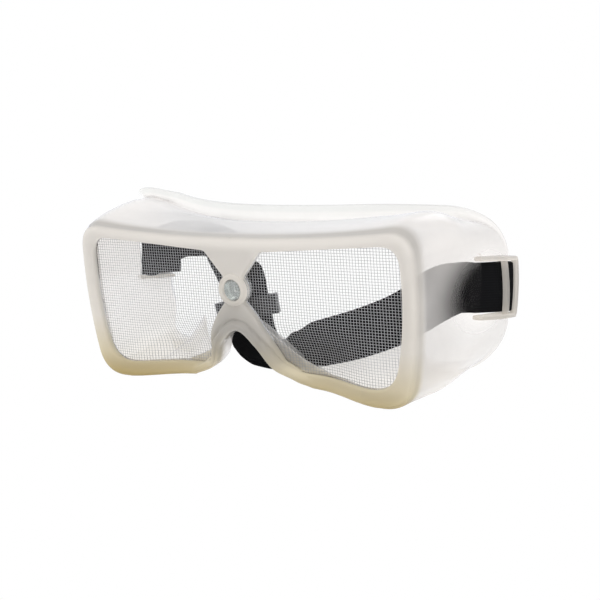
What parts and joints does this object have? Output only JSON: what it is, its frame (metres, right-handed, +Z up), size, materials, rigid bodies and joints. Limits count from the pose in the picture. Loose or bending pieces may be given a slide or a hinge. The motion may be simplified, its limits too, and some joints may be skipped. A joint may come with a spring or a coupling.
{
  "type": "mesh safety goggles",
  "caption": "Soft cup goggles with a flat wire mesh lens, ring boss bridge, side keepers and an elastic headband with an adjuster slide, tucked inside the cup.",
  "frame": {"origin": "on the floor under the middle of the outer box, with the goggles standing on the rim's lower edge and the rear lip", "axes": "+X toward the viewer's right when the lens is seen from the front, -Y the way the lens faces, +Z up"},
  "size_m": [0.1821, 0.07, 0.0755],
  "materials": {
    "pvc": "translucent soft PVC, satin, slightly yellowed at the lower rim",
    "wire": "fine woven steel wire",
    "clear_plastic": "clear moulded plastic",
    "elastic": "black woven elastic",
    "black_plastic": "black moulded plastic",
    "thread": "black polyester thread"
  },
  "bodies": {
    "goggles": {"goggle_body": "pvc", "mesh_lens": "wire", "bridge_button": "clear_plastic", "bridge_cap": "clear_plastic", "headband": "elastic", "lap_stitching": "thread", "hem_stitching": "thread"},
    "adjuster": {"adjuster_slide": "black_plastic"}
  },
  "joints": [
    {"name": "adjuster_travel", "type": "slide", "parent": "goggles", "child": "adjuster", "axis": [0.1565, -0.0318, -0.9872], "range_m": [-0.005, 0.005]}
  ]
}
